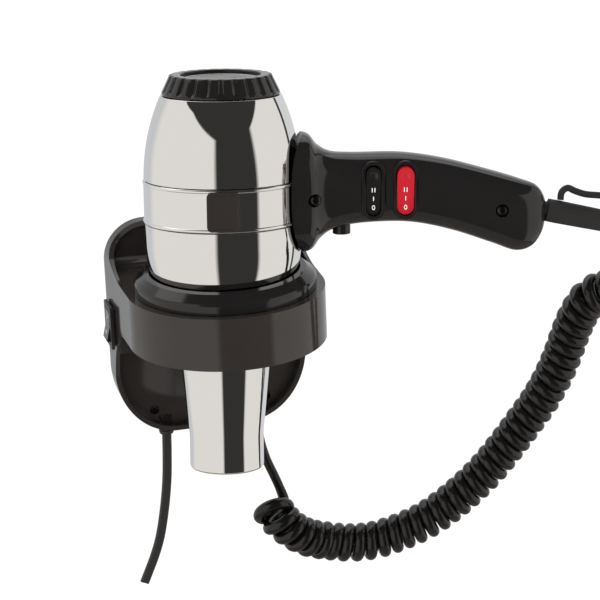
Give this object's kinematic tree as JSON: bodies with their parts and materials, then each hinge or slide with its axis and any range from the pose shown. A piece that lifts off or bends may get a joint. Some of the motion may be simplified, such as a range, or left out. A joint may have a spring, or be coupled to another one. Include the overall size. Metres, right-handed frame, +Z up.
{
  "type": "hair dryer holder",
  "caption": "Wall bracket with a round seat ring and power switch, holding a chrome pistol hair dryer nose down on a coiled lead.",
  "frame": {"origin": "middle of the holder's wall face", "axes": "+Z up, +Y into the wall, +X to the right seen from the room; the seat ring stands out along -Y"},
  "size_m": [0.3216, 0.1273, 0.3424],
  "materials": {
    "gloss_black": "polished moulded",
    "satin_black": "fine satin",
    "cord_black": "satin",
    "chrome": "mirror polished",
    "steel": "plain",
    "red": "polished moulded",
    "mica": "layered sheet",
    "brass": "drawn resistance wire",
    "natural": "moulded"
  },
  "bodies": {
    "holder": {"holder_shell": "gloss_black", "back_plate": "satin_black", "seat_collar": "gloss_black", "wall_screw_left": "steel", "wall_screw_right": "steel", "wall_screw_top": "steel", "power_switch_bezel": "satin_black", "power_switch_body": "satin_black", "terminal_block": "natural", "mains_gland": "satin_black", "lead_gland": "satin_black", "mains_lead": "cord_black", "lead_lower_tail": "cord_black", "curly_lead": "cord_black"},
    "dryer": {"rear_barrel_shell": "chrome", "centre_band": "chrome", "front_barrel_shell": "chrome", "nozzle": "chrome", "badge_plate": "gloss_black", "motor": "steel", "motor_mount": "natural", "heater_frame": "mica", "heater_coil": "brass", "outlet_grille": "steel", "thermostat": "steel", "handle_front": "gloss_black", "handle_back": "gloss_black", "handle_screw_barrel": "steel", "handle_screw_tail": "steel", "speed_bezel": "gloss_black", "speed_switch": "satin_black", "heat_bezel": "gloss_black", "heat_switch": "satin_black", "cold_shot_spring": "steel", "cold_shot_switch": "satin_black", "strain_relief": "satin_black", "hang_loop": "satin_black", "lead_clamp": "natural", "lead_upper_tail": "cord_black"},
    "power_rocker": {"power_rocker": "satin_black"},
    "speed_rocker": {"speed_rocker": "gloss_black"},
    "heat_rocker": {"heat_rocker": "red"},
    "cold_shot": {"cold_shot_button": "gloss_black"},
    "fan_rotor": {"fan": "natural", "motor_shaft": "steel"},
    "intake_cap": {"intake_cap": "gloss_black", "intake_filter": "steel"}
  },
  "joints": [
    {"name": "dryer_lift", "type": "slide", "parent": "holder", "child": "dryer", "axis": [0, 0, 1], "range_m": [0, 0.13]},
    {"name": "power_rocker_tilt", "type": "hinge", "parent": "holder", "child": "power_rocker", "pos_m": [-0.062, -0.014, 0.007], "axis": [0, -1, 0], "range_deg": [0, 14]},
    {"name": "speed_rocker_tilt", "type": "hinge", "parent": "dryer", "child": "speed_rocker", "pos_m": [0.08554, -0.09419, 0.09818], "axis": [-0.9761, 0.2151, 0.0312], "range_deg": [0, 20]},
    {"name": "heat_rocker_tilt", "type": "hinge", "parent": "dryer", "child": "heat_rocker", "pos_m": [0.10399, -0.09825, 0.09759], "axis": [-0.9761, 0.2151, 0.0312], "range_deg": [0, 20]},
    {"name": "cold_shot_press", "type": "slide", "parent": "dryer", "child": "cold_shot", "axis": [0.0572, 0.1158, 0.9916], "range_m": [0, 0.0025], "stiffness_N_per_m": 300, "springref_m": -0.001, "deforming": ["cold_shot_spring"]},
    {"name": "fan_spin", "type": "hinge", "parent": "dryer", "child": "fan_rotor", "pos_m": [0.00509, -0.05595, 0.14777], "axis": [0.0572, 0.1158, 0.9916], "continuous": true},
    {"name": "intake_cap_turn", "type": "hinge", "parent": "dryer", "child": "intake_cap", "pos_m": [0.00553, -0.05504, 0.1555], "axis": [0.0572, 0.1158, 0.9916], "range_deg": [0, 45]}
  ]
}
